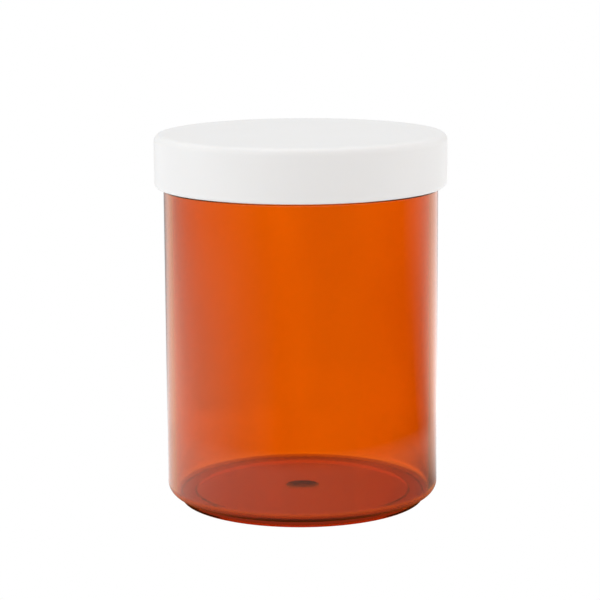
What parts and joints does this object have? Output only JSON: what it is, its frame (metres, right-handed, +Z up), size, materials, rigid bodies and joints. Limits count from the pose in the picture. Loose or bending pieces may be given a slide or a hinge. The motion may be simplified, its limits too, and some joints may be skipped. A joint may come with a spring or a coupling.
{
  "type": "prescription vial",
  "caption": "Wide round see-through vial with a rounded base, a broad foot ring, a threaded neck and a smooth screw lid over a sealing disc.",
  "frame": {"origin": "centre of the circle that the foot ring stands on", "axes": "+Z up along the vial's axis, towards the lid; +X and +Y are any pair across it, set by where the thread starts"},
  "size_m": [0.066, 0.066, 0.0841],
  "materials": {
    "amber_plastic": "gloss",
    "white_plastic": "satin",
    "white_foam": "matte"
  },
  "bodies": {
    "vial": {"vial_body": "amber_plastic"},
    "disc": {"sealing_disc": "white_foam"},
    "lid": {"screw_lid": "white_plastic"}
  },
  "joints": [
    {"name": "lid_rise", "type": "slide", "parent": "vial", "child": "disc", "axis": [0, 0, 1], "range_m": [0, 0.0128]},
    {"name": "lid_turn", "type": "hinge", "parent": "disc", "child": "lid", "pos_m": [0, 0, 0.0781], "axis": [0, 0, 1], "range_deg": [0, 1080]}
  ],
  "couplings": [
    {"joint": "lid_rise", "follows": "lid_turn", "m_per_rad": 0.00067376}
  ]
}
